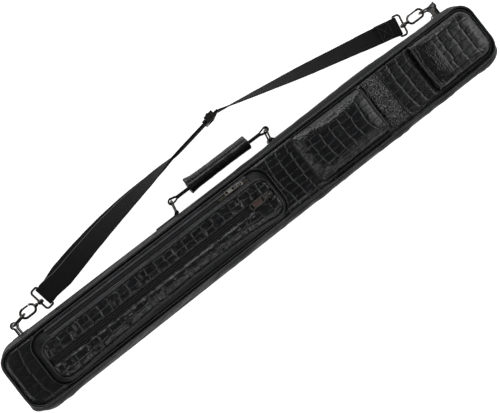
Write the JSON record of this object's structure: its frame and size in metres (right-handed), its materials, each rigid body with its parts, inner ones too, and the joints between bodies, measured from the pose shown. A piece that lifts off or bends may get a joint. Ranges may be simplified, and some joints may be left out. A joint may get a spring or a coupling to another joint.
{
  "type": "cue case",
  "caption": "Padded clamshell case for two-piece cues: crocodile-embossed faces, zipped bellows pocket, open pouch and top pocket, wrapped handle, clip-on shoulder strap.",
  "frame": {"origin": "centre of the back face, on the plane the case rests on", "axes": "+X towards the top end (the end the pouch mouth faces), +Y towards the handle side, +Z out of the front face"},
  "size_m": [0.8789, 0.2065, 0.0964],
  "materials": {
    "croc_leather": "crocodile-embossed leatherette, satin with soft highlights",
    "smooth_leather": "smooth grained leatherette, satin",
    "piping_vinyl": "vinyl piping cord, semi-gloss",
    "gloss_leather": "glossy crinkled leatherette",
    "zipper_tape": "woven polyester zipper tape, matt",
    "zipper_coil": "nylon coil, low sheen",
    "gunmetal": "dark gunmetal plating, worn edges",
    "pull_tab_metal": "antique gunmetal with a warm brushed inlay",
    "plush_foam": "short plush over foam",
    "elastic": "ribbed elastic",
    "webbing": "ribbed polypropylene webbing"
  },
  "bodies": {
    "back_shell": {"back_panel": "croc_leather", "back_piping": "piping_vinyl", "back_wall": "smooth_leather", "cue_tray": "plush_foam", "butt_bands": "elastic", "hinge_strip": "smooth_leather", "main_tape_back": "zipper_tape", "main_coil_back": "zipper_coil", "main_zip_stops": "gunmetal", "handle_tab_bottom": "smooth_leather", "handle_tab_top": "smooth_leather", "tab_rivets": "gunmetal", "strap_tab_bottom": "smooth_leather", "strap_tab_top": "smooth_leather"},
    "front_shell": {"front_panel": "croc_leather", "front_piping": "piping_vinyl", "front_wall": "smooth_leather", "shaft_tray": "plush_foam", "shaft_bands": "elastic", "main_tape_front": "zipper_tape", "main_coil_front": "zipper_coil", "pocket_gusset": "smooth_leather", "side_zip_tape": "zipper_tape", "side_zip_coil": "zipper_coil", "pocket_front_upper": "croc_leather", "pocket_front_lower": "croc_leather", "pocket_piping": "piping_vinyl", "pocket_base_piping": "piping_vinyl", "pocket_zip_tape": "zipper_tape", "pocket_zip_coil": "zipper_coil", "pouch_body": "croc_leather", "pouch_binding": "piping_vinyl", "gloss_strip": "gloss_leather", "mid_panel": "croc_leather", "top_pocket": "croc_leather", "top_pocket_binding": "piping_vinyl", "top_pocket_band": "smooth_leather"},
    "main_slider_side": {"main_slider_side": "gunmetal"},
    "main_pull_side": {"main_pull_side": "gunmetal"},
    "main_slider_end": {"main_slider_end": "gunmetal"},
    "main_pull_end": {"main_pull_end": "gunmetal"},
    "pocket_slider": {"pocket_slider": "gunmetal"},
    "pocket_pull": {"pocket_pull": "pull_tab_metal"},
    "side_slider": {"side_slider": "gunmetal"},
    "side_pull": {"side_pull": "gunmetal"},
    "handle_ring_bottom": {"handle_ring_bottom": "gunmetal"},
    "handle_ring_top": {"handle_ring_top": "gunmetal"},
    "handle": {"handle_core": "webbing", "handle_grip": "smooth_leather"},
    "d_ring_bottom": {"d_ring_bottom": "gunmetal"},
    "d_ring_top": {"d_ring_top": "gunmetal"},
    "strap": {"strap_webbing": "webbing", "strap_loop_bottom": "gunmetal", "strap_loop_top": "gunmetal"},
    "strap_slider": {"strap_slider": "gunmetal", "strap_end_loop": "webbing"},
    "hook_bottom": {"snap_hook_bottom": "gunmetal"},
    "hook_top": {"snap_hook_top": "gunmetal"},
    "gate_bottom": {"hook_gate_bottom": "gunmetal"},
    "gate_top": {"hook_gate_top": "gunmetal"}
  },
  "joints": [
    {"name": "case_open", "type": "hinge", "parent": "back_shell", "child": "front_shell", "pos_m": [0, -0.0576, 0.038], "axis": [1, 0, 0], "range_deg": [0, 150]},
    {"name": "main_slider_side_travel", "type": "slide", "parent": "back_shell", "child": "main_slider_side", "axis": [-1, 0, 0], "range_m": [0, 0.79]},
    {"name": "main_pull_side_swing", "type": "hinge", "parent": "main_slider_side", "child": "main_pull_side", "pos_m": [0.396, 0.056, 0.038], "axis": [0, 0, -1], "range_deg": [-120, 48]},
    {"name": "main_slider_end_travel", "type": "slide", "parent": "back_shell", "child": "main_slider_end", "axis": [0, -1, 0], "range_m": [-0.011, 0.026]},
    {"name": "main_pull_end_swing", "type": "hinge", "parent": "main_slider_end", "child": "main_pull_end", "pos_m": [0.439, 0.005, 0.038], "axis": [0, 0, 1], "range_deg": [0, 170]},
    {"name": "pocket_slider_travel", "type": "slide", "parent": "front_shell", "child": "pocket_slider", "axis": [-1, 0, 0], "range_m": [0, 0.36]},
    {"name": "pocket_pull_swing", "type": "hinge", "parent": "pocket_slider", "child": "pocket_pull", "pos_m": [0.003, -0.005, 0.0942], "axis": [0, 1, 0], "range_deg": [0, 170]},
    {"name": "side_slider_travel", "type": "slide", "parent": "front_shell", "child": "side_slider", "axis": [-1, 0, 0], "range_m": [0, 0.325]},
    {"name": "side_pull_swing", "type": "hinge", "parent": "side_slider", "child": "side_pull", "pos_m": [-0.02, 0.03287, 0.0846], "axis": [0, 0.7821, -0.6232], "range_deg": [0, 170]},
    {"name": "handle_swing", "type": "hinge", "parent": "back_shell", "child": "handle_ring_bottom", "pos_m": [-0.108, 0.0575, 0.019], "axis": [0, 0, 1], "range_deg": [-50, 75]},
    {"name": "handle_ring_top_swing", "type": "hinge", "parent": "back_shell", "child": "handle_ring_top", "pos_m": [0.072, 0.0575, 0.019], "axis": [0, 0, 1], "range_deg": [-50, 75]},
    {"name": "handle_level", "type": "hinge", "parent": "handle_ring_bottom", "child": "handle", "pos_m": [-0.10415, 0.0756, 0.019], "axis": [0, 0, 1], "range_deg": [-75, 50]},
    {"name": "d_ring_bottom_swing", "type": "hinge", "parent": "back_shell", "child": "d_ring_bottom", "pos_m": [-0.392, 0.07, 0.019], "axis": [0, 0, 1], "range_deg": [-4, 4]},
    {"name": "d_ring_top_swing", "type": "hinge", "parent": "back_shell", "child": "d_ring_top", "pos_m": [0.412, 0.07, 0.019], "axis": [0, 0, 1], "range_deg": [-4, 4]},
    {"name": "strap_swing", "type": "hinge", "parent": "back_shell", "child": "strap", "pos_m": [0, 0.075, 0.019], "axis": [1, 0, 0], "range_deg": [-70, 70]},
    {"name": "strap_slider_travel", "type": "slide", "parent": "strap", "child": "strap_slider", "axis": [-0.9853, -0.1709, 0], "range_m": [0, 0.045]},
    {"name": "hook_bottom_swivel", "type": "hinge", "parent": "back_shell", "child": "hook_bottom", "pos_m": [-0.35, 0.075, 0.019], "axis": [1, 0, 0], "range_deg": [-35, 35]},
    {"name": "hook_top_swivel", "type": "hinge", "parent": "back_shell", "child": "hook_top", "pos_m": [0.364, 0.075, 0.019], "axis": [1, 0, 0], "range_deg": [-35, 35]},
    {"name": "hook_gate_bottom_press", "type": "hinge", "parent": "hook_bottom", "child": "gate_bottom", "pos_m": [-0.36, 0.082, 0.019], "axis": [0, 0, 1], "range_deg": [0, 22], "stiffness_Nm_per_rad": 0.02},
    {"name": "hook_gate_top_press", "type": "hinge", "parent": "hook_top", "child": "gate_top", "pos_m": [0.374, 0.082, 0.019], "axis": [0, 0, -1], "range_deg": [0, 22], "stiffness_Nm_per_rad": 0.02}
  ],
  "couplings": [
    {"joint": "handle_ring_top_swing", "follows": "handle_swing", "ratio": 1},
    {"joint": "handle_level", "follows": "handle_swing", "ratio": -1}
  ]
}
